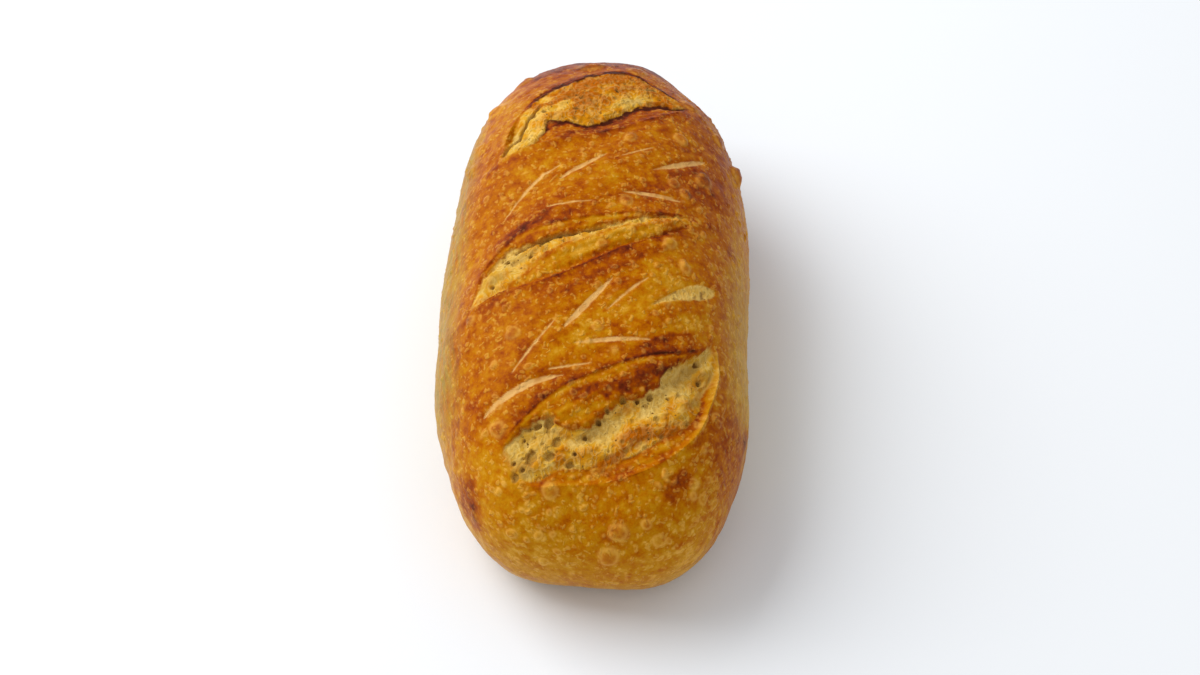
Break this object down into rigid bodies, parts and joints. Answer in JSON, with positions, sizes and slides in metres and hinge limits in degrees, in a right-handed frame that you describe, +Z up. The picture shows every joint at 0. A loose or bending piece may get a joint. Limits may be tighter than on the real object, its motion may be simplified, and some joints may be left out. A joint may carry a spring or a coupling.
{
  "type": "durum wheat bread loaf",
  "caption": "Oblong domed loaf of durum wheat bread with a browned crust, slanting slashes that opened into torn crumb with raised ears, and a flat base.",
  "frame": {"origin": "middle of the loaf's box at the level of its flat base", "axes": "+Z up, +Y along the loaf towards its far end, +X across it to the right"},
  "size_m": [0.1228, 0.2453, 0.0893],
  "materials": {
    "crust": "baked wheat crust, golden to red-brown, satin, with paler crumb in the slashes"
  },
  "bodies": {
    "root": {"loaf": "crust"}
  },
  "joints": []
}
